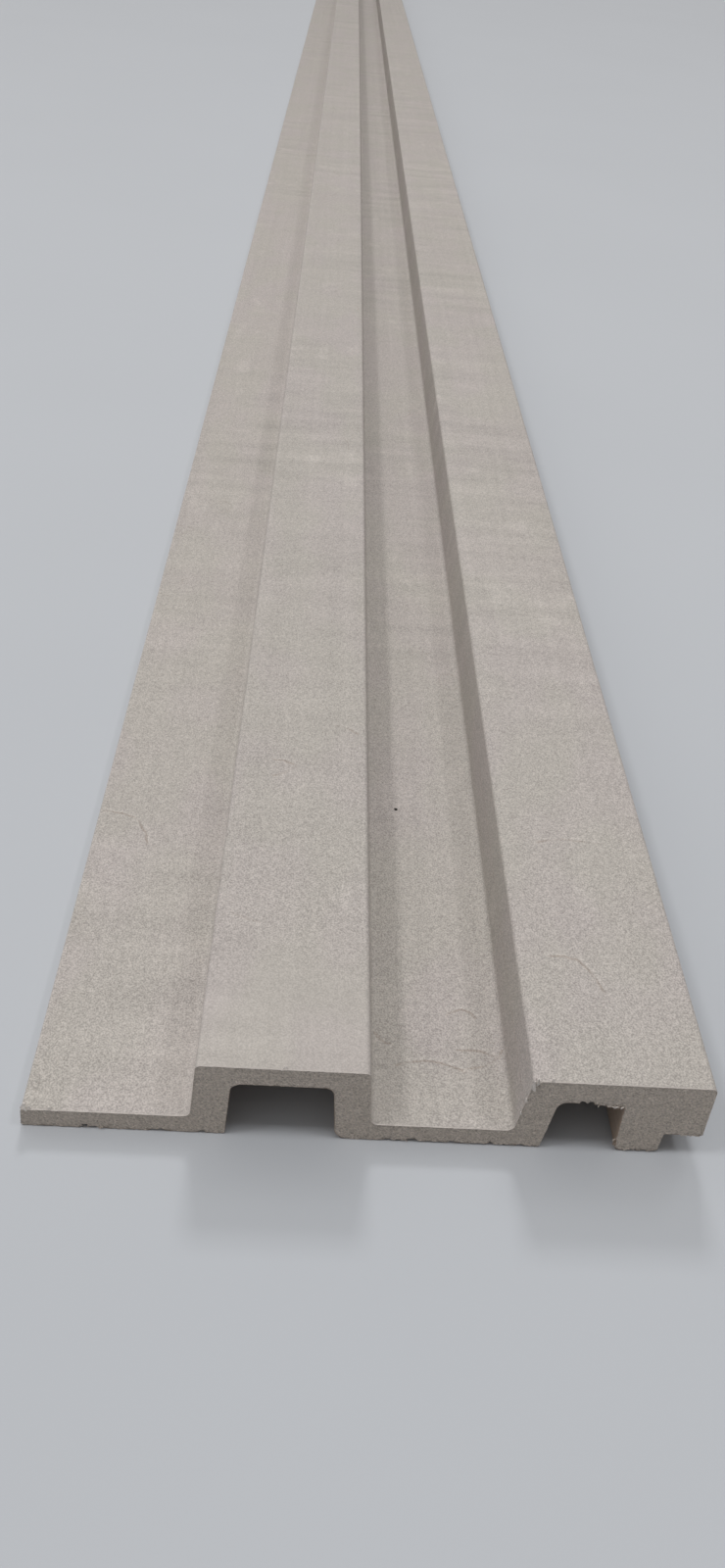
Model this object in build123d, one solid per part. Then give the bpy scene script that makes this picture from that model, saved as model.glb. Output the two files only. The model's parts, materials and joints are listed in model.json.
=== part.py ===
"""Foamed PVC wall batten: one extruded length with two hollow slats, a tongue and a rebate.

The length lies on its back along Y, face up, as it would on a bench. The section is in X and Z.
The tongue is the left edge and the rebate is under the right edge, where the next length's tongue goes.
All sizes are in millimetres. The origin is under the middle of the length, on the plane that it lies on.
"""

import math
import os

from build123d import *

# Overall sizes
LENGTH = 2650.0
HEIGHT = 20.0

# Widths across the face, from the tongue's edge to the right, at the top of the web
TONGUE_WIDTH = 29.9
FIRST_SLAT_WIDTH = 32.1
TROUGH_WIDTH = 25.6
SECOND_SLAT_WIDTH = 34.4

# Thicknesses of the foam
WEB = 5.0
FIRST_ROOF = 5.0
SECOND_ROOF = 6.0
FIRST_SLAT_WALL = 6.5
SECOND_SLAT_WALL = 6.0
LEG_WIDTH = 8.4
LIP_WIDTH = 7.0

# Room under the lip for the next length's tongue
TONGUE_CLEARANCE = 0.7

# Lean of the walls away from upright, in degrees
FACE_DRAFT = 4.6
CHANNEL_DRAFT = 4.1

# Rounding of the edges
CROWN_RADIUS = 1.0
SLAT_FOOT_RADIUS = 1.6
CHANNEL_ROOF_RADIUS = 2.0
WEB_UNDER_RADIUS = 2.4
LEG_UNDER_RADIUS = 1.8
EDGE_RADIUS = 0.5


def lean(rise, draft):
    """Sideways run of a wall that leans by draft degrees over a rise."""
    return rise * math.tan(math.radians(draft))


# Heights that follow from the thicknesses
lip_under = WEB + TONGUE_CLEARANCE
first_roof_under = HEIGHT - FIRST_ROOF
second_roof_under = HEIGHT - SECOND_ROOF

# Feet of the four face walls, at the top of the web, counted from the tongue's edge
first_left = TONGUE_WIDTH
first_right = first_left + FIRST_SLAT_WIDTH
second_left = first_right + TROUGH_WIDTH
right_edge = second_left + SECOND_SLAT_WIDTH

# The leg's outer side, which the next length's tongue meets
leg_outer = right_edge - LIP_WIDTH


def face_outline():
    """The visible side from the tongue to the lip, as (x, z, radius) corners."""
    slat_lean = lean(HEIGHT - WEB, FACE_DRAFT)
    lip_lean = lean(HEIGHT - lip_under, FACE_DRAFT)
    return [
        (lean(WEB, FACE_DRAFT), WEB, EDGE_RADIUS),
        (first_left, WEB, SLAT_FOOT_RADIUS),
        (first_left + slat_lean, HEIGHT, CROWN_RADIUS),
        (first_right - slat_lean, HEIGHT, CROWN_RADIUS),
        (first_right, WEB, SLAT_FOOT_RADIUS),
        (second_left, WEB, SLAT_FOOT_RADIUS),
        (second_left + slat_lean, HEIGHT, CROWN_RADIUS),
        (right_edge - lip_lean, HEIGHT, CROWN_RADIUS),
        (right_edge, lip_under, EDGE_RADIUS),
    ]


def back_outline():
    """The wall side from the lip back to the tongue, with the rebate and both channels."""
    to_base = lean(WEB, CHANNEL_DRAFT)
    first_rise = lean(first_roof_under, CHANNEL_DRAFT)
    second_rise = lean(second_roof_under, CHANNEL_DRAFT)
    second_channel_right = leg_outer - LEG_WIDTH + to_base
    second_channel_left = second_left + SECOND_SLAT_WALL - to_base
    first_channel_right = first_right - FIRST_SLAT_WALL + to_base
    first_channel_left = first_left + FIRST_SLAT_WALL - to_base
    return [
        (leg_outer, lip_under, EDGE_RADIUS),
        (leg_outer, 0.0, EDGE_RADIUS),
        (second_channel_right, 0.0, LEG_UNDER_RADIUS),
        (second_channel_right - second_rise, second_roof_under, EDGE_RADIUS),
        (second_channel_left + second_rise, second_roof_under, CHANNEL_ROOF_RADIUS),
        (second_channel_left, 0.0, EDGE_RADIUS),
        (first_channel_right, 0.0, WEB_UNDER_RADIUS),
        (first_channel_right - first_rise, first_roof_under, CHANNEL_ROOF_RADIUS),
        (first_channel_left + first_rise, first_roof_under, CHANNEL_ROOF_RADIUS),
        (first_channel_left, 0.0, EDGE_RADIUS),
        (0.0, 0.0, EDGE_RADIUS),
    ]


def rounded_section(corners):
    """A closed outline through the corners, each one rounded by its own radius."""
    points = [(x, z) for x, z, _ in corners]
    radii = [radius for _, _, radius in corners]
    path = FilletPolyline(*points, radius=radii, close=True)
    return make_face(path)


def batten():
    """The whole length, centred over the origin."""
    section = rounded_section(face_outline() + back_outline())
    middle = section.bounding_box().center().X
    upright = Plane.XZ * Pos(-middle, 0.0) * section
    return extrude(upright, LENGTH / 2, both=True)


os.makedirs("parts", exist_ok=True)
export_step(batten(), "parts/wall_batten.step")
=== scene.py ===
"""Looks of a foamed PVC wall batten: the film on its face, the sawn foam of its ends and the stage.

The packed CAD length is loaded first and gives the section. The visible length is modelled from a copy of
its sawn end, so it has the same size. Lengths are in metres, and the batten lies along Y with its face up.
"""

import json
import math
import random

import bmesh
import bpy
from bpy.props import FloatProperty, FloatVectorProperty, PointerProperty
from mathutils import Matrix, Vector

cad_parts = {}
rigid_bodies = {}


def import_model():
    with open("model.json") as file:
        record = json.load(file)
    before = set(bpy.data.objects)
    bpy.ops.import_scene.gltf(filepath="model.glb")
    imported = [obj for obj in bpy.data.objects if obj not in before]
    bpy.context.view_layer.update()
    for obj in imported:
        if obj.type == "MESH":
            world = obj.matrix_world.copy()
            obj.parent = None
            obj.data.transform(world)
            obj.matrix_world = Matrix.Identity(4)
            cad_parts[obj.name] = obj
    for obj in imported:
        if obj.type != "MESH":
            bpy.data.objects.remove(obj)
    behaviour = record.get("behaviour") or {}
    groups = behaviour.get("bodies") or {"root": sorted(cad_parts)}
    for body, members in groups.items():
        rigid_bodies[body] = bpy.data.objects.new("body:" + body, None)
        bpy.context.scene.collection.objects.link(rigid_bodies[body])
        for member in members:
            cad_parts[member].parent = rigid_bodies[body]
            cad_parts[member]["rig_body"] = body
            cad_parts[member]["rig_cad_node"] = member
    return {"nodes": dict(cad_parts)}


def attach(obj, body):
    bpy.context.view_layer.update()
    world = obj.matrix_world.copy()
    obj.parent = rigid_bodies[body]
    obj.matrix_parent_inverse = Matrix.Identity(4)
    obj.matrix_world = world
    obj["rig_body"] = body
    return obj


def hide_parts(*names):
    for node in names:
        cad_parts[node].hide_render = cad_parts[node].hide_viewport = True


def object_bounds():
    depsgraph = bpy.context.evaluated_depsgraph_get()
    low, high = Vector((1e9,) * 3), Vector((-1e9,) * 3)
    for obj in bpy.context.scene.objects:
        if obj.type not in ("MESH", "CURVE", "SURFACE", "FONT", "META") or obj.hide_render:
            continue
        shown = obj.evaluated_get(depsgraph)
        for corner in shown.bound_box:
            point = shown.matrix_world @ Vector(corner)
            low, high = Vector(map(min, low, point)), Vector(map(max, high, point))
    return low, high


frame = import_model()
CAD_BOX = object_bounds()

bl_info = {
    "name": "Wall batten",
    "version": (1, 0, 0),
    "blender": (4, 5, 0),
    "location": "3D View > Sidebar > Batten",
    "description": "Models a film-faced foam wall batten round its packed CAD length",
    "category": "Add Mesh",
}

NODE = "wall_batten"
MM = 0.001
FRONT = CAD_BOX[0].y
BACK = CAD_BOX[1].y
LEFT = CAD_BOX[0].x
RIGHT = CAD_BOX[1].x
TOP = CAD_BOX[1].z


# Settings that a user would change

class BattenSizes(bpy.types.PropertyGroup):
    """Fine sizes of the sawn ends and the film."""

    saw_pitch: FloatProperty(
        name="Saw pitch", description="Spacing of the points that carry the saw marks on a sawn end",
        default=0.5 * MM, min=0.2 * MM, unit="LENGTH", precision=5)
    saw_relief: FloatProperty(
        name="Saw relief", description="Depth of the torn cells on a sawn end",
        default=0.32 * MM, min=0.0, unit="LENGTH", precision=5)
    edge_tear: FloatProperty(
        name="Edge tear", description="How far the saw tore the foam's under edge",
        default=0.45 * MM, min=0.0, unit="LENGTH", precision=5)
    film_lip: FloatProperty(
        name="Film lip", description="Width of the pale lip that the saw left on the film",
        default=0.25 * MM, min=0.1 * MM, unit="LENGTH", precision=5)


def colour_setting(name, description, default):
    """A colour that a user can change."""
    return FloatVectorProperty(
        name=name, description=description, subtype="COLOR", size=3, min=0.0, max=1.0, default=default)


class BattenColours(bpy.types.PropertyGroup):
    """Colours of the film, the foam and the floor."""

    film: colour_setting("Film", "Main colour of the printed film", (0.443, 0.407, 0.382))
    film_rose: colour_setting("Film, rose cloud", "Rosy clouds of the film's print", (0.444, 0.405, 0.386))
    film_sage: colour_setting("Film, sage cloud", "Green clouds of the film's print", (0.434, 0.408, 0.370))
    film_brown: colour_setting("Film, brown line", "Pore lines of the film's print", (0.330, 0.282, 0.245))
    film_edge: colour_setting("Film edge", "The film where the saw whitened it", (0.55, 0.51, 0.475))
    film_fleck: colour_setting("Film fleck", "A dark fleck in the trough", (0.02, 0.018, 0.016))
    foam: colour_setting("Foam", "Sawn foam", (0.55, 0.486, 0.428))
    # The skin's colour is darkened brown as painted shade for the hollow channels
    skin: colour_setting("Foam skin", "The closed skin of the back and channels", (0.31, 0.238, 0.186))
    floor: colour_setting("Floor", "The pale floor that it lies on", (0.468, 0.486, 0.515))


class BattenStage(bpy.types.PropertyGroup):
    """Place of the camera and level of the light."""

    eye: FloatVectorProperty(
        name="Eye", description="Where the camera stands", subtype="TRANSLATION", size=3, unit="LENGTH",
        default=(-0.0152, -1.4375, 0.1783))
    heading: FloatProperty(
        name="Heading", description="Turn of the camera to the right of straight along the batten",
        subtype="ANGLE", default=math.radians(4.17))
    pitch: FloatProperty(
        name="Pitch", description="Tilt of the camera below level", subtype="ANGLE",
        default=math.radians(39.93))
    roll: FloatProperty(
        name="Roll", description="Lean of the camera about its line of sight", subtype="ANGLE",
        default=math.radians(6.16))
    lens: FloatProperty(
        name="Lens", description="Focal length in millimetres for a 36 mm long side", default=25.57)
    lamp: FloatProperty(
        name="Lamps", description="Level of all the lamps", default=1.0, min=0.0)
    ambient: FloatProperty(
        name="Ambient", description="Strength of the even light from all round", default=0.49, min=0.0)


# Small helpers for edit mode

def select_only(obj):
    """Makes obj the one selected and active object."""
    bpy.ops.object.select_all(action="DESELECT")
    obj.select_set(True)
    bpy.context.view_layer.objects.active = obj


def open_edit(obj, mode="FACE"):
    """Enters edit mode on obj with nothing selected."""
    select_only(obj)
    bpy.ops.object.mode_set(mode="EDIT")
    bpy.ops.mesh.select_mode(type=mode)
    bpy.ops.mesh.select_all(action="DESELECT")


def close_edit():
    """Leaves edit mode."""
    bpy.ops.object.mode_set(mode="OBJECT")


def pick_faces(obj, wanted):
    """Selects the faces for which wanted(centre, normal) is true, in edit mode."""
    mesh = bmesh.from_edit_mesh(obj.data)
    for face in mesh.faces:
        face.select_set(bool(wanted(face.calc_center_median(), face.normal)))
    mesh.select_flush_mode()
    bmesh.update_edit_mesh(obj.data)


def cut_all(points, direction):
    """Cuts the whole mesh in edit mode by a plane through each point."""
    for point in points:
        bpy.ops.mesh.select_all(action="SELECT")
        bpy.ops.mesh.bisect(plane_co=point, plane_no=direction, use_fill=False)


def weigh(obj, name, wanted):
    """Makes a vertex group of the points for which wanted(place) is true, in object mode."""
    group = obj.vertex_groups.new(name=name)
    group.add([vertex.index for vertex in obj.data.vertices if wanted(vertex.co)], 1.0, "REPLACE")


def clouds(name, size, depth, contrast=1.0):
    """A cloud pattern for a Displace modifier, with grains of the given size."""
    pattern = bpy.data.textures.new(name, "CLOUDS")
    pattern.noise_scale = size
    pattern.noise_depth = depth
    pattern.noise_basis = "ORIGINAL_PERLIN"
    pattern.contrast = contrast
    return pattern


def displace(obj, pattern, group, strength, direction, middle=0.5):
    """Moves the weighted points of obj by the pattern, along one axis, and applies it."""
    modifier = obj.modifiers.new(pattern.name, "DISPLACE")
    modifier.texture = pattern
    modifier.texture_coords = "LOCAL"
    if group:
        modifier.vertex_group = group
    modifier.strength = strength
    modifier.mid_level = middle
    modifier.direction = direction
    select_only(obj)
    bpy.ops.object.modifier_apply(modifier=modifier.name)


def dress(piece, *materials):
    """Gives a piece its materials, its body and its slot."""
    piece.data.materials.clear()
    for material in materials:
        piece.data.materials.append(material)
    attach(piece, "root")


# Small helpers for nodes

def node(tree, kind, inputs=None, **settings):
    """Adds a node, sets it up, and links or sets its inputs by name or number."""
    made = tree.nodes.new(kind)
    for key, value in settings.items():
        setattr(made, key, value)
    for key, value in (inputs or {}).items():
        if isinstance(value, bpy.types.NodeSocket):
            tree.links.new(value, made.inputs[key])
        else:
            made.inputs[key].default_value = value
    return made


def math_node(tree, operation, *values):
    """A Math node's output for the given values or sockets."""
    inputs = dict(enumerate(values))
    return node(tree, "ShaderNodeMath", inputs, operation=operation).outputs[0]


def times(tree, value, amount):
    """The value multiplied by an amount."""
    return math_node(tree, "MULTIPLY", value, amount)


def swing(tree, value, amount):
    """A value from 0 to 1 as a swing of that amount about zero."""
    return times(tree, math_node(tree, "SUBTRACT", value, 0.5), amount)


def vector_node(tree, operation, *values):
    """A Vector Math node's output: its number for a length or a dot product, and else its vector."""
    made = node(tree, "ShaderNodeVectorMath", dict(enumerate(values)), operation=operation)
    return made.outputs["Value" if operation in ("LENGTH", "DISTANCE", "DOT_PRODUCT") else "Vector"]


def remap(tree, value, low, high, to_low=0.0, to_high=1.0):
    """A clamped, smooth Map Range of a value."""
    return node(tree, "ShaderNodeMapRange", {
        "Value": value, "From Min": low, "From Max": high, "To Min": to_low, "To Max": to_high,
    }, interpolation_type="SMOOTHSTEP").outputs["Result"]


def stretched_noise(tree, place, scale, detail=2.0, roughness=0.5, shift=(0.0, 0.0, 0.0), turn=None):
    """Noise whose grains are 1 / scale metres long on each axis, after an optional turn about Y."""
    if turn is not None:
        place = node(tree, "ShaderNodeVectorRotate", {"Vector": place, "Angle": turn},
                     rotation_type="Y_AXIS").outputs[0]
    mapped = node(tree, "ShaderNodeMapping", {"Vector": place, "Scale": scale, "Location": shift})
    return node(tree, "ShaderNodeTexNoise", {
        "Vector": mapped.outputs[0], "Scale": 1.0, "Detail": detail, "Roughness": roughness,
    }, noise_dimensions="3D").outputs["Fac"]


def mix_colour(tree, share, first, second, blend="MIX"):
    """A colour Mix node's output."""
    made = node(tree, "ShaderNodeMix", data_type="RGBA", blend_type=blend)
    for key, value in ((0, share), (6, first), (7, second)):
        if isinstance(value, bpy.types.NodeSocket):
            tree.links.new(value, made.inputs[key])
        else:
            made.inputs[key].default_value = value if key == 0 else (*value, 1.0)
    return made.outputs[2]


def once(build):
    """Makes a material the first time it is asked for, and gives the same one after that."""
    made = {}

    def get(colours):
        if build.__name__ not in made:
            made[build.__name__] = build(colours)
        return made[build.__name__]

    get.__doc__ = build.__doc__
    return get


def new_material(name):
    """A material with its shader, and the Object coordinates of the piece."""
    material = bpy.data.materials.new(name)
    material.use_nodes = True
    tree = material.node_tree
    shader = tree.nodes["Principled BSDF"]
    place = node(tree, "ShaderNodeTexCoord").outputs["Object"]
    return material, tree, shader, place


def bump(tree, shader, height, distance, strength=1.0):
    """Puts a height on the shader's normal through a Bump node."""
    made = node(tree, "ShaderNodeBump", {"Height": height, "Distance": distance, "Strength": strength})
    tree.links.new(made.outputs["Normal"], shader.inputs["Normal"])


# Turn of the grit away from the axes, because level faces would lie along the noise's own grid
OFF_AXES = (0.7, 0.5, 0.3)

# Grains per metre of the film's emboss and mottle, and of the foam's cells, holes and skin
FILM_SAND, FILM_MOTTLE, LIP_SAND, SHRED_SAND = 3300.0, 1100.0, 2900.0, 2300.0
FOAM_CELLS, FOAM_HOLES, SKIN_GRAIN = 2600.0, 1000.0, 1300.0


def grit_group():
    """Fine sandy grain, shared by the film and both faces of the foam."""
    name = "batten grit"
    if name in bpy.data.node_groups:
        return bpy.data.node_groups[name]
    group = bpy.data.node_groups.new(name, "ShaderNodeTree")
    group.interface.new_socket("Place", in_out="INPUT", socket_type="NodeSocketVector")
    group.interface.new_socket("Grains per metre", in_out="INPUT", socket_type="NodeSocketFloat")
    group.interface.new_socket("Grit", in_out="OUTPUT", socket_type="NodeSocketFloat")
    group.interface.new_socket("Pits", in_out="OUTPUT", socket_type="NodeSocketFloat")
    start = group.nodes.new("NodeGroupInput")
    end = group.nodes.new("NodeGroupOutput")
    turned = node(group, "ShaderNodeVectorRotate", {
        "Vector": start.outputs["Place"], "Rotation": OFF_AXES}, rotation_type="EULER_XYZ").outputs[0]
    fine = node(group, "ShaderNodeTexNoise", {
        "Vector": turned, "Scale": start.outputs["Grains per metre"], "Detail": 1.0, "Roughness": 0.6,
    }).outputs["Fac"]
    cells = node(group, "ShaderNodeTexVoronoi", {
        "Vector": turned, "Scale": start.outputs["Grains per metre"], "Randomness": 1.0,
    }, feature="F1").outputs["Distance"]
    group.links.new(remap(group, fine, 0.3, 0.7), end.inputs["Grit"])
    group.links.new(remap(group, cells, 0.05, 0.55), end.inputs["Pits"])
    return group


def grit(tree, place, per_metre):
    """The outputs of the grit group placed in a material."""
    made = node(tree, "ShaderNodeGroup")
    made.node_tree = grit_group()
    tree.links.new(place, made.inputs["Place"])
    made.inputs["Grains per metre"].default_value = per_metre
    return made.outputs


# Half widths of a pore arc's dark line and of the pale line beside it, and how far apart they lie
# The dark line is the print's pore line and also paints the crack's shaded side.
# The pale line is a painted highlight on the lit side of the film's embossed crack.
LINE_HALF_WIDTH, LINE_CORE, HIGHLIGHT_HALF_WIDTH, HIGHLIGHT_OFFSET = 0.42 * MM, 0.08 * MM, 0.55 * MM, 0.62 * MM


def arc_group():
    """A thin pore line along part of a circle, seen from above, with a paler line beside it."""
    name = "batten pore arc"
    if name in bpy.data.node_groups:
        return bpy.data.node_groups[name]
    group = bpy.data.node_groups.new(name, "ShaderNodeTree")
    for socket, kind in (("Place", "Vector"), ("Centre", "Vector"), ("Radius", "Float"),
                         ("Direction", "Vector"), ("Reach", "Float")):
        group.interface.new_socket(socket, in_out="INPUT", socket_type=f"NodeSocket{kind}")
    group.interface.new_socket("Line", in_out="OUTPUT", socket_type="NodeSocketFloat")
    group.interface.new_socket("Painted highlight", in_out="OUTPUT", socket_type="NodeSocketFloat")
    start = group.nodes.new("NodeGroupInput").outputs
    end = group.nodes.new("NodeGroupOutput")
    away = vector_node(group, "SUBTRACT", start["Place"], start["Centre"])
    away = vector_node(group, "MULTIPLY", away, (1.0, 1.0, 0.0))
    gap = math_node(group, "SUBTRACT", vector_node(group, "LENGTH", away), start["Radius"])
    line = remap(group, math_node(group, "ABSOLUTE", gap), LINE_HALF_WIDTH, LINE_CORE)
    beside = math_node(group, "ABSOLUTE", math_node(group, "SUBTRACT", gap, HIGHLIGHT_OFFSET))
    pale = remap(group, beside, HIGHLIGHT_HALF_WIDTH, LINE_CORE)
    facing = vector_node(group, "DOT_PRODUCT", vector_node(group, "NORMALIZE", away), start["Direction"])
    ends = remap(group, math_node(group, "SUBTRACT", facing, start["Reach"]), 0.0, 0.02)
    group.links.new(times(group, line, ends), end.inputs["Line"])
    group.links.new(times(group, pale, ends), end.inputs["Painted highlight"])
    return group


# Place and radius of a dark fleck in the trough
FLECK = (7.74 * MM, FRONT + 85.4 * MM, 5.0 * MM)
FLECK_RADIUS = 0.5 * MM

# How far the pore arcs wander from a true circle
ARC_WOBBLE = 1.2 * MM

# Where the listed arcs give way to the made ones, from the front end
ARCS_FADE = (90.0 * MM, 130.0 * MM)

# Place and radius of the smoother patch on the first slat by the front end, made paler as a painted sheen
SHEEN_PATCH = (-14.5 * MM, FRONT + 4.0 * MM, TOP)
SHEEN_PATCH_RADIUS = 32.0 * MM

# Pore arcs of the print near the front end, in millimetres and degrees: centre across and from the front
# end, radius, direction and half span
ARCS = (
    (-59.2, 64.1, 14.7, 77, 17), (-63.7, 66.9, 15.4, 23, 17), (35.1, 16.7, 12.1, 84, 16),
    (22.0, 14.8, 22.0, 27, 15), (-21.4, 74.2, 8.6, 72, 21), (-24.3, 87.5, 10.6, -57, 19),
    (-9.0, 88.0, 9.0, 62, 22), (19.5, 6.6, 10.7, 78, 24), (18.7, 21.1, 8.4, -60, 33),
    (18.9, 23.2, 3.4, 88, 60), (4.6, 20.4, 2.5, -131, 50), (11.5, 1.2, 13.0, 86, 32),
    (43.4, 38.5, 23.2, 92, 19), (-20.1, 44.4, 11.1, -112, 18),
)


def pore_arcs(tree, place):
    """All the pore arcs as two masks, of their dark lines and of the pale lines beside them."""
    noise = node(tree, "ShaderNodeTexNoise", {"Vector": place, "Scale": 420.0, "Detail": 1.0})
    wobble = vector_node(tree, "SUBTRACT", noise.outputs["Color"], (0.5, 0.5, 0.5))
    wobble = vector_node(tree, "SCALE", wobble)
    wobble.node.inputs["Scale"].default_value = ARC_WOBBLE
    shaken = vector_node(tree, "ADD", place, wobble)
    dark = pale = None
    for across, along, radius, direction, half_span in ARCS:
        made = node(tree, "ShaderNodeGroup")
        made.node_tree = arc_group()
        tree.links.new(shaken, made.inputs["Place"])
        made.inputs["Centre"].default_value = (across * MM, FRONT + along * MM, 0.0)
        made.inputs["Radius"].default_value = radius * MM
        angle = math.radians(direction)
        made.inputs["Direction"].default_value = (math.cos(angle), math.sin(angle), 0.0)
        made.inputs["Reach"].default_value = math.cos(math.radians(half_span))
        if dark is None:
            dark, pale = made.outputs["Line"], made.outputs["Painted highlight"]
        else:
            dark = math_node(tree, "MAXIMUM", dark, made.outputs["Line"])
            pale = math_node(tree, "MAXIMUM", pale, made.outputs["Painted highlight"])
    return dark, pale


# How far each layer of the film swings its shade, and how deep its emboss is
FIGURE_SWING, SAND_SWING, MOTTLE_SWING, STREAK_SWING = 0.46, 0.46, 0.13, 0.10
EMBOSS_DEPTH = 0.05 * MM

# How much smoother the patch by the front end is, and how much its painted sheen pales it
SHEEN_PATCH_SMOOTHING, PAINTED_SHEEN_PALENESS = 0.5, 0.03

# Slant of the fibres that the saw drew out of the foam
FIBRE_SLANT = math.radians(38)


def toned(colour, amount):
    """A colour made darker or lighter by an amount."""
    return tuple(amount * channel for channel in colour)


# Materials

@once
def film_material(colours):
    """Matt printed film: clouds, cross figure, pore arcs, pale smudges and a sandy emboss."""
    material, tree, shader, place = new_material("greige_film")
    along = node(tree, "ShaderNodeSeparateXYZ", {"Vector": place}).outputs["Y"]

    wide = remap(tree, stretched_noise(tree, place, (22, 9, 22), 1.0), 0.35, 0.65)
    small = remap(tree, stretched_noise(tree, place, (60, 34, 60), 1.0, shift=(3, 1, 0)), 0.38, 0.62)
    colour = mix_colour(tree, wide, colours.film_rose, colours.film)
    colour = mix_colour(tree, times(tree, small, 0.6), colour, colours.film_sage)

    figure = stretched_noise(tree, place, (17, 105, 17), 3.0, 0.68)
    patches = stretched_noise(tree, place, (9, 7, 9), 1.0, shift=(0, 4, 0))
    figure = times(tree, swing(tree, figure, 1.0), remap(tree, patches, 0.40, 0.62, 0.2, 1.0))
    streaks = stretched_noise(tree, place, (520, 4, 520), 1.0)

    contour = stretched_noise(tree, place, (34, 30, 34), 1.0, shift=(7, 2, 0))
    arcs = remap(tree, math_node(tree, "PINGPONG", times(tree, contour, 9.0), 0.5), 0.03, 0.0)
    where = remap(tree, stretched_noise(tree, place, (24, 18, 24), 1.0, shift=(1, 9, 0)), 0.60, 0.68)
    further = remap(tree, along, FRONT + ARCS_FADE[0], FRONT + ARCS_FADE[1])
    arcs = times(tree, times(tree, arcs, where), further)
    dark_arcs, highlight_arcs = pore_arcs(tree, place)
    broken = remap(tree, stretched_noise(tree, place, (260, 260, 260), 1.0), 0.36, 0.52, 0.35, 1.0)
    arcs = times(tree, math_node(tree, "MAXIMUM", arcs, dark_arcs), broken)
    colour = mix_colour(tree, times(tree, arcs, 0.66), colour, colours.film_brown)
    # The pale lines beside the pore arcs are painted highlights
    colour = mix_colour(tree, times(tree, highlight_arcs, 0.33), colour, colours.film_edge)

    smudge = stretched_noise(tree, place, (150, 90, 150), 2.0, 0.6, shift=(2, 5, 0))
    patch = remap(tree, stretched_noise(tree, place, (14, 22, 14), 1.0, shift=(5, 3, 0)), 0.50, 0.62)
    smudge = times(tree, remap(tree, smudge, 0.54, 0.66), patch)
    colour = mix_colour(tree, times(tree, smudge, 0.30), colour, colours.film_edge)
    fleck = remap(tree, vector_node(tree, "DISTANCE", place, FLECK), FLECK_RADIUS, 0.7 * FLECK_RADIUS)
    colour = mix_colour(tree, fleck, colour, colours.film_fleck)

    sand = grit(tree, place, FILM_SAND)["Grit"]
    mottle = grit(tree, place, FILM_MOTTLE)["Grit"]
    sheen_patch = remap(tree, vector_node(tree, "DISTANCE", place, SHEEN_PATCH), SHEEN_PATCH_RADIUS, 0.4 * SHEEN_PATCH_RADIUS)
    kept = math_node(tree, "SUBTRACT", 1.0, times(tree, sheen_patch, SHEEN_PATCH_SMOOTHING))
    grain = math_node(tree, "ADD", swing(tree, sand, SAND_SWING), swing(tree, mottle, MOTTLE_SWING))
    shade = math_node(tree, "ADD", times(tree, figure, FIGURE_SWING), 1.0)
    # Painted sheen: the patch by the front end is made paler
    paler = times(tree, sheen_patch, PAINTED_SHEEN_PALENESS)
    for part in (times(tree, grain, kept), paler, swing(tree, streaks, STREAK_SWING)):
        shade = math_node(tree, "ADD", shade, part)
    grey = node(tree, "ShaderNodeCombineColor", {"Red": shade, "Green": shade, "Blue": shade}).outputs[0]
    tree.links.new(mix_colour(tree, 1.0, colour, grey, "MULTIPLY"), shader.inputs["Base Color"])
    tree.links.new(remap(tree, sand, 0.0, 1.0, 0.62, 0.78), shader.inputs["Roughness"])
    shader.inputs["Specular IOR Level"].default_value = 0.1
    relief = math_node(tree, "ADD", sand, times(tree, mottle, 0.8))
    bump(tree, shader, times(tree, relief, kept), EMBOSS_DEPTH, 0.7)
    return material


@once
def sawn_foam_material(colours):
    """Bare foam that the saw laid open: torn cells, dark pits and paler fibres."""
    material, tree, shader, place = new_material("sawn_foam")
    fibres = stretched_noise(tree, place, (3600, 2600, 1900), 3.0, 0.7, turn=FIBRE_SLANT)
    fine = grit(tree, place, FOAM_CELLS)["Grit"]
    holes = grit(tree, place, FOAM_HOLES)
    tone = math_node(tree, "ADD", times(tree, remap(tree, fibres, 0.3, 0.7), 0.6), times(tree, fine, 0.4))
    colour = mix_colour(tree, tone, toned(colours.foam, 0.55), toned(colours.foam, 1.42))
    colour = mix_colour(tree, times(tree, holes["Grit"], 0.35), colour, toned(colours.foam, 1.1))
    # Painted shade: the foam's pits are darkened, standing for shade in its open cells
    pit_shade = times(tree, remap(tree, holes["Pits"], 0.22, 0.05), 0.45)
    tree.links.new(mix_colour(tree, pit_shade, colour, toned(colours.foam, 0.4)), shader.inputs["Base Color"])
    shader.inputs["Roughness"].default_value = 0.85
    shader.inputs["Specular IOR Level"].default_value = 0.2
    bump(tree, shader, math_node(tree, "ADD", tone, times(tree, holes["Pits"], 0.5)), 0.18 * MM)
    return material


@once
def foam_skin_material(colours):
    """The closed skin of the extruded back and channels, with faint lines from the die."""
    material, tree, shader, place = new_material("foam_skin")
    fine = grit(tree, place, SKIN_GRAIN)["Grit"]
    die = stretched_noise(tree, place, (900, 1.5, 900), 3.0, 0.6)
    cloudy = stretched_noise(tree, place, (30, 12, 30), 2.0)
    shade = math_node(tree, "ADD", times(tree, die, 0.18), times(tree, cloudy, 0.2))
    colour = mix_colour(tree, shade, toned(colours.skin, 1.12), toned(colours.skin, 0.6))
    tree.links.new(colour, shader.inputs["Base Color"])
    tree.links.new(remap(tree, die, 0.3, 0.7, 0.5, 0.68), shader.inputs["Roughness"])
    bump(tree, shader, math_node(tree, "ADD", die, times(tree, fine, 0.3)), 0.08 * MM, 0.7)
    return material


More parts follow.
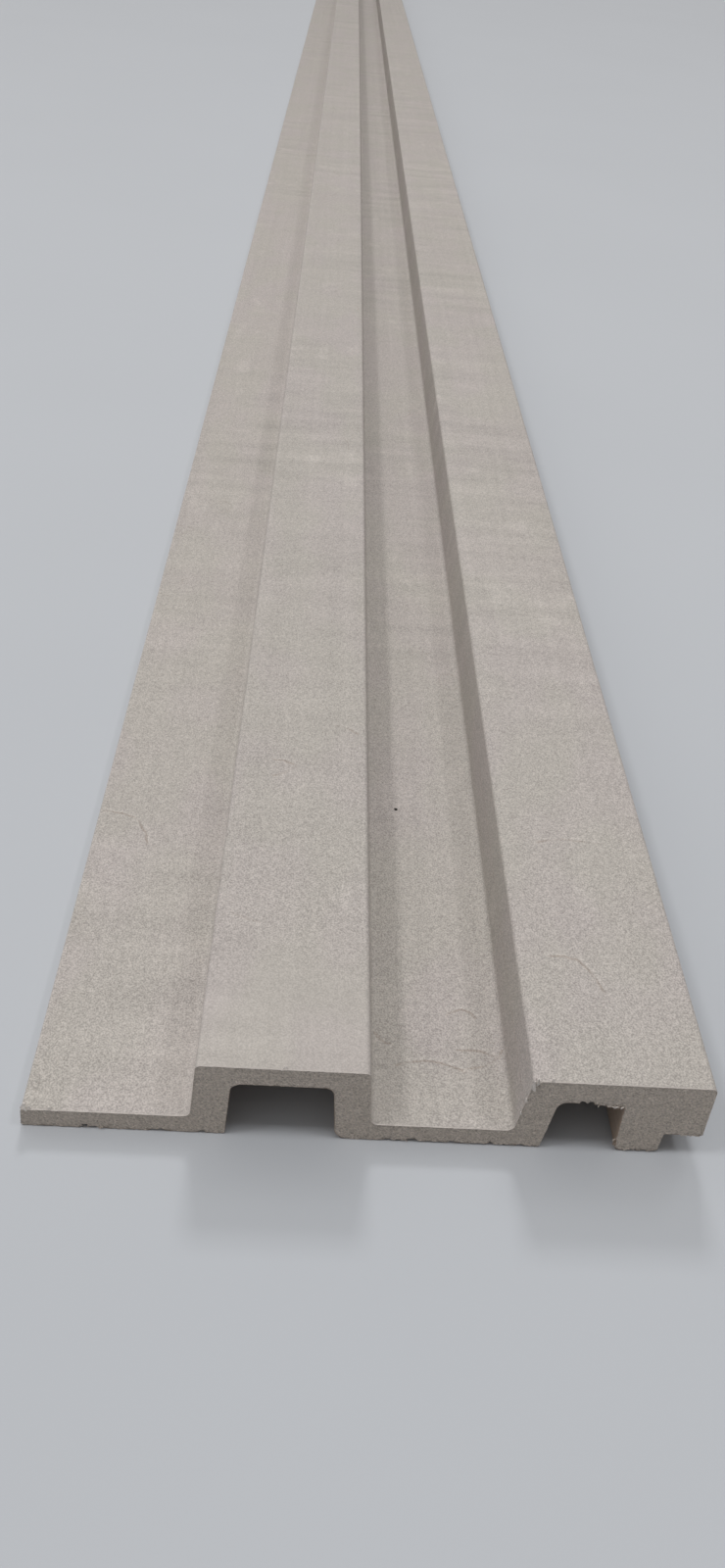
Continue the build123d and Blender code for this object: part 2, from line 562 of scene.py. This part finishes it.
@once
def film_edge_material(colours):
    """The pale, whitened lip of the film along the saw cut, paler in the trough than on the slats."""
    material, tree, shader, place = new_material("cut_film_edge")
    height = node(tree, "ShaderNodeSeparateXYZ", {"Vector": place}).outputs["Z"]
    ragged = remap(tree, stretched_noise(tree, place, (700, 700, 700), 3.0, 0.65), 0.4, 0.62)
    ragged = times(tree, ragged, remap(tree, height, 17.0 * MM, 19.8 * MM, 1.0, 0.4))
    sand = grit(tree, place, LIP_SAND)["Grit"]
    colour = mix_colour(tree, ragged, colours.film, colours.film_edge)
    colour = mix_colour(tree, times(tree, sand, 0.25), colour, colours.film_brown)
    tree.links.new(colour, shader.inputs["Base Color"])
    shader.inputs["Roughness"].default_value = 0.5
    bump(tree, shader, sand, EMBOSS_DEPTH, 0.8)
    return material


@once
def film_shred_material(colours):
    """Shreds of film that the saw stretched pale."""
    material, tree, shader, place = new_material("film_shred")
    sand = grit(tree, place, SHRED_SAND)["Grit"]
    colour = mix_colour(tree, sand, colours.film_edge, toned(colours.film_edge, 1.2))
    tree.links.new(colour, shader.inputs["Base Color"])
    shader.inputs["Roughness"].default_value = 0.55
    bump(tree, shader, sand, EMBOSS_DEPTH, 0.8)
    return material


@once
def floor_material(colours):
    """A pale table top with a soft sheen and faint dents."""
    material, tree, shader, place = new_material("pale_floor")
    cloudy = stretched_noise(tree, place, (6, 6, 6), 2.0)
    dents = stretched_noise(tree, place, (90, 70, 90), 2.0, 0.65)
    colour = mix_colour(tree, cloudy, toned(colours.floor, 1.02), toned(colours.floor, 0.97))
    tree.links.new(colour, shader.inputs["Base Color"])
    shader.inputs["Roughness"].default_value = 0.28
    shader.inputs["Specular IOR Level"].default_value = 0.5
    bump(tree, shader, remap(tree, dents, 0.55, 0.75), 0.10 * MM, 0.12)
    return material


# The pieces

# Order of the materials on the length
FILM, SAWN, SKIN, EDGE = range(4)

# How near to an end's plane a point has to be to lie in it, and how deep the worst fraying goes
IN_PLANE = 0.01 * MM
FRAY_DEPTH = 0.6 * MM

# Height in millimetres under which a frayed edge rests on the floor
FOOT = 1.0


def near_end(y, reach):
    """True within reach of either sawn end."""
    return y - FRONT < reach or BACK - y < reach


# Larger chips in the front sawn end, in millimetres: place across and up, half width, and lift
CHIPS = (
    (-49.7, 0.0, 0.8, 1.1), (-48.4, 0.0, 0.7, 0.8), (-37.4, 0.0, 0.7, 0.9), (-36.3, 0.0, 0.6, 0.75),
    (-29.0, 0.0, 0.5, 0.3), (4.6, 0.0, 0.5, 0.4), (8.9, 0.0, 0.8, 0.5), (15.9, 0.0, 0.6, 0.45),
    (23.2, 0.0, 0.7, 0.5), (28.3, 0.0, 0.6, 0.45), (37.4, 14.0, 0.6, 0.35), (39.0, 14.0, 0.5, 0.4),
    (41.2, 14.0, 0.8, -0.55), (42.8, 14.0, 0.8, -0.75), (44.4, 14.0, 0.7, -0.6), (49.6, 0.0, 0.6, 0.55),
    (51.2, 0.0, 0.5, 0.4), (58.6, 5.7, 0.6, -0.35), (59.8, 5.7, 0.6, -0.45), (28.6, 19.6, 0.5, -0.5),
)

# Under edges of the front end that the saw frayed most, in millimetres: from and to across, from and to up
RAGGED = (
    (39.6, 45.6, 13.2, 14.6), (44.6, 46.4, 1.5, 5.0), (48.2, 54.2, -0.5, 0.8), (56.8, 61.2, 5.0, 6.3),
    (3.0, 31.0, -0.5, 0.35),
)


def is_ragged(at):
    """True on the under edges that the saw frayed most."""
    x, z = at.x / MM, at.z / MM
    return at.y < FRONT + FRAY_DEPTH and any(
        first < x < last and low < z < high for first, last, low, high in RAGGED)


def rim(obj, material):
    """Places of all the points of the faces that wear a material."""
    faces = [face for face in obj.data.polygons if face.material_index == material]
    return {tuple(obj.data.vertices[index].co) for face in faces for index in face.vertices}


def chip(obj, centre, reach, move):
    """Drags the points of the sawn outline nearest to a place, and what lies round them, in edit mode."""
    mesh = bmesh.from_edit_mesh(obj.data)
    for vertex in mesh.verts:
        vertex.select_set((vertex.co - centre).length < reach)
    mesh.select_flush_mode()
    bmesh.update_edit_mesh(obj.data)
    bpy.ops.transform.translate(
        value=move, use_proportional_edit=True, proportional_edit_falloff="SHARP",
        proportional_size=0.5 * MM)


# Where the first cut across the sawn end falls, as a share of the pitch, clear of its corners
CUT_PHASE = 0.37


def sawn_cap(sizes):
    """The front sawn end of the CAD length as one flat face, cut into a fine grid."""
    select_only(frame["nodes"][NODE])
    bpy.ops.object.duplicate()
    cap = bpy.context.object
    cap.name = cap.data.name = "batten_length"
    cap.parent = None
    del cap["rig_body"], cap["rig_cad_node"]
    bpy.ops.mesh.customdata_custom_splitnormals_clear()
    open_edit(cap)
    bpy.ops.mesh.select_all(action="SELECT")
    bpy.ops.mesh.remove_doubles(threshold=0.001 * MM)
    pick_faces(cap, lambda centre, normal: centre.y > FRONT + IN_PLANE)
    bpy.ops.mesh.delete(type="FACE")
    bpy.ops.mesh.select_all(action="SELECT")
    bpy.ops.mesh.dissolve_faces()
    pitch = sizes.saw_pitch
    steps = math.ceil((RIGHT - LEFT) / pitch)
    cut_all([(LEFT + (step + CUT_PHASE) * pitch, 0, 0) for step in range(steps)], (1, 0, 0))
    steps = math.ceil(TOP / pitch)
    cut_all([(0, 0, (step + CUT_PHASE) * pitch) for step in range(steps)], (0, 0, 1))
    bpy.ops.mesh.select_all(action="SELECT")
    bpy.ops.mesh.remove_doubles(threshold=0.03 * MM)
    close_edit()
    return cap


class BATTEN_OT_length(bpy.types.Operator):
    """Models the batten from its own sawn end, with the film on its face and torn foam at the ends"""

    bl_idname = "batten.length"
    bl_label = "Length of batten"

    def execute(self, context):
        sizes, colours = context.scene.batten_sizes, context.scene.batten_colours
        length = sawn_cap(sizes)
        if not length.data.polygons:
            raise RuntimeError("The CAD length has no sawn end to model from")
        open_edit(length)
        bpy.ops.mesh.select_all(action="SELECT")
        bpy.ops.mesh.extrude_region_move(TRANSFORM_OT_translate={"value": (0, BACK - FRONT, 0)})
        bpy.ops.mesh.select_all(action="SELECT")
        bpy.ops.mesh.normals_make_consistent(inside=False)
        rings = (sizes.film_lip, 4.0 * sizes.film_lip, 12.0 * sizes.film_lip)
        cut_all([(0, FRONT + ring, 0) for ring in rings], (0, 1, 0))
        cut_all([(0, BACK - ring, 0) for ring in rings], (0, 1, 0))
        close_edit()
        dress(length, film_material(colours), sawn_foam_material(colours), foam_skin_material(colours),
              film_edge_material(colours))
        for face in length.data.polygons:
            if abs(face.normal.y) > 0.7:
                face.material_index = SAWN
            elif face.normal.z < 0.02:
                face.material_index = SKIN
            else:
                face.material_index = EDGE if near_end(face.center.y, sizes.film_lip) else FILM
        self.tear(length, sizes)
        select_only(length)
        bpy.ops.object.shade_smooth_by_angle(angle=math.radians(40))
        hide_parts(NODE)
        return {"FINISHED"}

    def tear(self, length, sizes):
        """Roughens both sawn ends and tears their under edges."""
        film_rim, back_rim = rim(length, EDGE), rim(length, SKIN)

        def in_end(at):
            return near_end(at.y, IN_PLANE)

        weigh(length, "sawn", lambda at: in_end(at) and tuple(at) not in film_rim)
        weigh(length, "under_edge", lambda at: in_end(at) and tuple(at) in back_rim - film_rim)
        displace(length, clouds("torn_cells", 0.55 * MM, 2, 1.4), "sawn", sizes.saw_relief, "NORMAL", 0.85)
        displace(length, clouds("torn_edge", 0.9 * MM, 3, 2.2), "under_edge", sizes.edge_tear, "Z", 0.0)
        weigh(length, "ragged", is_ragged)
        weigh(length, "ragged_foot", lambda at: is_ragged(at) and at.z < FOOT * MM)
        weigh(length, "ragged_roof", lambda at: is_ragged(at) and at.z > FOOT * MM)
        torn = sizes.edge_tear
        displace(length, clouds("ragged_up", 0.45 * MM, 2, 3.0), "ragged_foot", 1.2 * torn, "Z", 0.0)
        displace(length, clouds("ragged_down", 0.45 * MM, 2, 3.0), "ragged_roof", 1.6 * torn, "Z")
        displace(length, clouds("ragged_along", 0.6 * MM, 2, 3.0), "ragged", 1.2 * torn, "X")
        weigh(length, "film_rim", lambda at: in_end(at) and tuple(at) in film_rim)
        displace(length, clouds("film_wave", 0.8 * MM, 2, 2.0), "film_rim", 0.3 * torn, "Z")
        open_edit(length, "VERT")
        for x, z, reach, lift in CHIPS:
            chip(length, Vector((x * MM, FRONT, z * MM)), reach * MM, Vector((0.0, 0.15 * MM, lift * MM)))
        close_edit()


# Film burrs on the front sawn edge: place across and up, width and height in millimetres, then lean,
# curl and turn in degrees
BURRS = (
    (-60.1, 4.8, 1.5, 1.6, 78, 50, -25), (-59.0, 4.9, 0.9, 0.8, 70, 40, 15),
    (-55.6, 4.8, 1.1, 0.8, 70, 60, 0), (-14.7, 19.8, 1.7, 0.8, 60, 70, 5),
    (27.9, 17.4, 1.1, 3.0, 96, 35, -30), (28.6, 18.9, 0.9, 1.6, 84, 60, 30),
    (31.0, 19.8, 1.0, 0.8, 70, 70, 0), (27.3, 14.0, 0.6, 0.9, 92, 40, -40),
    (27.0, 10.2, 0.5, 0.7, 92, 40, -40), (43.2, 13.8, 1.1, 0.5, -82, 40, 0),
    (44.5, 13.7, 0.7, 0.7, -75, 50, 20), (38.4, 19.8, 0.5, 0.4, 60, 60, 0),
    (45.8, 19.8, 0.5, 0.35, 60, 60, 0), (14.0, 4.8, 0.6, 0.4, 60, 50, 0),
)
SHRED_THICKNESS = 0.14 * MM

# Torn fibres of foam on the front sawn end, in millimetres: where a tuft starts and ends across, its height,
# the longest fibre, and how many there are
TUFTS = (
    (-47.1, -46.7, 0.35, 1.2, 2), (-50.6, -47.4, 0.5, 0.5, 3), (-38.0, -35.3, 0.45, 0.5, 2),
    (2.7, 31.0, 0.4, 0.5, 9), (40.2, 45.3, 13.7, 0.5, 5), (45.0, 45.6, 3.4, 0.8, 2),
    (48.4, 53.8, 0.5, 0.5, 6), (57.2, 60.6, 5.7, 0.4, 7),
)
FRAY_SEED = 11


def joined(pieces, name):
    """Joins small pieces into one smooth object of that name, with its place in its mesh."""
    bpy.ops.object.select_all(action="DESELECT")
    for piece in pieces:
        piece.select_set(True)
    bpy.context.view_layer.objects.active = pieces[0]
    bpy.ops.object.join()
    bpy.ops.object.transform_apply(location=True, rotation=True, scale=True)
    made = bpy.context.object
    made.name = made.data.name = name
    bpy.ops.object.shade_smooth_by_angle(angle=math.radians(50))
    return made


def settle(piece, place, turn):
    """Puts a small piece in its place, with that place and turn in its mesh."""
    select_only(piece)
    piece.location = place
    piece.rotation_euler = turn
    bpy.ops.object.transform_apply(location=True, rotation=True, scale=True)


def shred(number, x, z, width, height, lean, curl, turn):
    """One curled, tapered shred of film."""
    bpy.ops.object.select_all(action="DESELECT")
    bpy.ops.mesh.primitive_grid_add(x_subdivisions=7, y_subdivisions=7, size=1.0)
    made = bpy.context.object
    open_edit(made, "VERT")
    bpy.ops.mesh.select_all(action="SELECT")
    bpy.ops.transform.resize(value=(width * MM, height * MM, 1.0))
    bpy.ops.transform.translate(value=(0, 0.5 * height * MM, 0))
    mesh = bmesh.from_edit_mesh(made.data)
    for vertex in mesh.verts:
        vertex.select_set(vertex.co.y > 0.8 * height * MM)
    bmesh.update_edit_mesh(made.data)
    bpy.ops.transform.resize(
        value=(0.35, 1.0, 1.0), use_proportional_edit=True, proportional_size=0.9 * height * MM)
    close_edit()
    bend = made.modifiers.new("curl", "SIMPLE_DEFORM")
    bend.deform_method = "BEND"
    bend.deform_axis = "X"
    bend.angle = math.radians(curl)
    wall = made.modifiers.new("film", "SOLIDIFY")
    wall.thickness = SHRED_THICKNESS
    select_only(made)
    bpy.ops.object.modifier_apply(modifier=bend.name)
    bpy.ops.object.modifier_apply(modifier=wall.name)
    displace(made, clouds(f"shred_{number}", (0.3 + 0.03 * number) * MM, 2), "", 0.16 * MM, "NORMAL")
    settle(made, (x * MM, FRONT + 0.05 * MM, z * MM), (math.radians(lean), 0, math.radians(turn)))
    return made


def fibre(chance, first, last, z, longest):
    """One torn fibre of foam, somewhere in its tuft."""
    run = Vector((chance.uniform(-0.7, 0.7), chance.uniform(-0.9, -0.1), chance.uniform(-0.8, 0.1)))
    reach = chance.uniform(0.4, 1.0) * longest * MM
    if z < FOOT:
        run.z = chance.uniform(-0.05, 0.3)
    bpy.ops.object.select_all(action="DESELECT")
    bpy.ops.mesh.primitive_cone_add(
        vertices=7, radius1=chance.uniform(0.08, 0.15) * MM, radius2=0.03 * MM, depth=reach)
    made = bpy.context.object
    open_edit(made)
    bpy.ops.mesh.select_all(action="SELECT")
    bpy.ops.mesh.subdivide(number_cuts=2)
    bpy.ops.transform.translate(value=(0, 0, 0.4 * reach))
    close_edit()
    displace(made, clouds("torn_fibre", chance.uniform(0.15, 0.4) * MM, 2), "", 0.08 * MM, "NORMAL")
    x = chance.uniform(first, last)
    root = (x * MM, FRONT + 0.15 * MM, (z + chance.uniform(-0.1, 0.25)) * MM)
    settle(made, root, run.to_track_quat("Z", "Y").to_euler())
    return made


class BATTEN_OT_burrs(bpy.types.Operator):
    """Curls the shreds of film that the saw pushed up along the front edge"""

    bl_idname = "batten.burrs"
    bl_label = "Film burrs"

    def execute(self, context):
        shreds = [shred(number, *burr) for number, burr in enumerate(BURRS)]
        dress(joined(shreds, "film_burrs"), film_shred_material(context.scene.batten_colours))
        return {"FINISHED"}


class BATTEN_OT_fray(bpy.types.Operator):
    """Hangs the torn fibres of foam on the under edges of the front end"""

    bl_idname = "batten.fray"
    bl_label = "Frayed foam"

    def execute(self, context):
        chance = random.Random(FRAY_SEED)
        fibres = [fibre(chance, *tuft) for *tuft, count in TUFTS for _ in range(count)]
        dress(joined(fibres, "foam_fray"), sawn_foam_material(context.scene.batten_colours))
        return {"FINISHED"}


# Lamps: place and size in metres, and power in watts. The one behind throws the short shadow before the
# front end, and the narrow ones at the sides throw the bands beside the slats
LAMPS = (
    ("lamp_behind", (0.0, 9.9, 11.3), (3.0, 2.4), 600.0),
    ("lamp_left", (-1.4, -1.5, 2.6), (0.3, 0.5), 17.5),
    ("lamp_middle", (0.0, -1.5, 2.6), (0.8, 0.5), 11.3),
    ("lamp_right", (1.4, -1.5, 2.6), (0.3, 0.5), 8.7),
)

# Side of the floor in metres, so wide that its edge lies far off in every view
FLOOR_SIZE = 80.0

# Colours of the room that the camera and the floor's sheen see, and of the even light
HORIZON, CEILING = (0.54, 0.545, 0.56), (1.0, 1.0, 1.0)
EVEN_TINT = (1.0, 0.99, 0.975, 1.0)

# Shares of the even light from the left, from the right and from beyond both ends
FROM_LEFT, FROM_RIGHT, FROM_ENDS = 1.5, 0.55, 0.38


class BATTEN_OT_stage(bpy.types.Operator):
    """Lays the floor, sets the camera and lights the batten softly from above"""

    bl_idname = "batten.stage"
    bl_label = "Stage"

    def execute(self, context):
        stage, colours = context.scene.batten_stage, context.scene.batten_colours
        bpy.ops.object.select_all(action="DESELECT")
        bpy.ops.mesh.primitive_plane_add(size=FLOOR_SIZE, location=(0, 0, 0))
        floor = context.object
        floor.name = floor.data.name = "floor"
        floor.data.materials.append(floor_material(colours))

        bpy.ops.object.camera_add(location=stage.eye)
        camera = context.object
        camera.name = camera.data.name = "camera"
        turn = (Matrix.Rotation(-stage.heading, 3, "Z") @ Matrix.Rotation(math.pi / 2 - stage.pitch, 3, "X")
                @ Matrix.Rotation(stage.roll, 3, "Z"))
        camera.rotation_euler = turn.to_euler()
        camera.data.lens = stage.lens
        camera.data.sensor_width = 36.0
        camera.data.clip_start = 0.005
        context.scene.camera = camera

        for name, place, sizes, watts in LAMPS:
            bpy.ops.object.light_add(type="AREA", location=place)
            lamp = context.object
            lamp.name = lamp.data.name = name
            lamp.data.shape = "RECTANGLE"
            lamp.data.size, lamp.data.size_y = sizes
            lamp.data.energy = watts * stage.lamp
            lamp.rotation_euler = (math.atan2(FRONT - place[1], place[2]), math.atan2(place[0], place[2]), 0)
            lamp.visible_glossy = False

        world = bpy.data.worlds.new("even_light")
        context.scene.world = world
        world.use_nodes = True
        tree = world.node_tree
        shown = tree.nodes["Background"]
        toward = node(tree, "ShaderNodeSeparateXYZ", {
            "Vector": node(tree, "ShaderNodeTexCoord").outputs["Generated"]}).outputs
        room = mix_colour(tree, remap(tree, toward["Z"], 0.12, 0.6), HORIZON, CEILING)
        tree.links.new(room, shown.inputs["Color"])
        shown.inputs["Strength"].default_value = 1.0
        sides = remap(tree, toward["X"], -1.0, 1.0, FROM_LEFT, FROM_RIGHT)
        ends = remap(tree, math_node(tree, "ABSOLUTE", toward["Y"]), 0.3, 0.9, 1.0, FROM_ENDS)
        level = times(tree, times(tree, sides, ends), stage.ambient)
        even = node(tree, "ShaderNodeBackground", {"Color": EVEN_TINT, "Strength": level})
        path = node(tree, "ShaderNodeLightPath")
        mixed = node(tree, "ShaderNodeMixShader")
        seen = math_node(tree, "MAXIMUM", path.outputs["Is Camera Ray"], path.outputs["Is Glossy Ray"])
        tree.links.new(seen, mixed.inputs[0])
        tree.links.new(even.outputs[0], mixed.inputs[1])
        tree.links.new(shown.outputs[0], mixed.inputs[2])
        tree.links.new(mixed.outputs[0], tree.nodes["World Output"].inputs["Surface"])
        context.scene.view_settings.view_transform = "Standard"
        return {"FINISHED"}


class BATTEN_PT_panel(bpy.types.Panel):
    """Settings and steps of the wall batten"""

    bl_idname = "BATTEN_PT_panel"
    bl_label = "Wall batten"
    bl_space_type = "VIEW_3D"
    bl_region_type = "UI"
    bl_category = "Batten"

    def draw(self, context):
        for group in (context.scene.batten_sizes, context.scene.batten_colours, context.scene.batten_stage):
            box = self.layout.box()
            for name in group.__annotations__:
                box.prop(group, name)
        for step in STEPS:
            self.layout.operator(step.bl_idname)


STEPS = (BATTEN_OT_length, BATTEN_OT_burrs, BATTEN_OT_fray, BATTEN_OT_stage)
CLASSES = (BattenSizes, BattenColours, BattenStage, *STEPS, BATTEN_PT_panel)


def register():
    """Registers the classes and hangs the settings on the scene."""
    for kind in CLASSES:
        bpy.utils.register_class(kind)
    bpy.types.Scene.batten_sizes = PointerProperty(type=BattenSizes)
    bpy.types.Scene.batten_colours = PointerProperty(type=BattenColours)
    bpy.types.Scene.batten_stage = PointerProperty(type=BattenStage)


def unregister():
    """Takes the settings off the scene and unregisters the classes."""
    del bpy.types.Scene.batten_stage, bpy.types.Scene.batten_colours, bpy.types.Scene.batten_sizes
    for kind in reversed(CLASSES):
        bpy.utils.unregister_class(kind)


def main():
    """Runs the steps in order and notes the size of the CAD box and of the visible batten."""
    register()
    bpy.ops.batten.length()
    bpy.ops.batten.burrs()
    bpy.ops.batten.fray()
    bpy.ops.batten.stage()


if __name__ == "__main__":
    main()
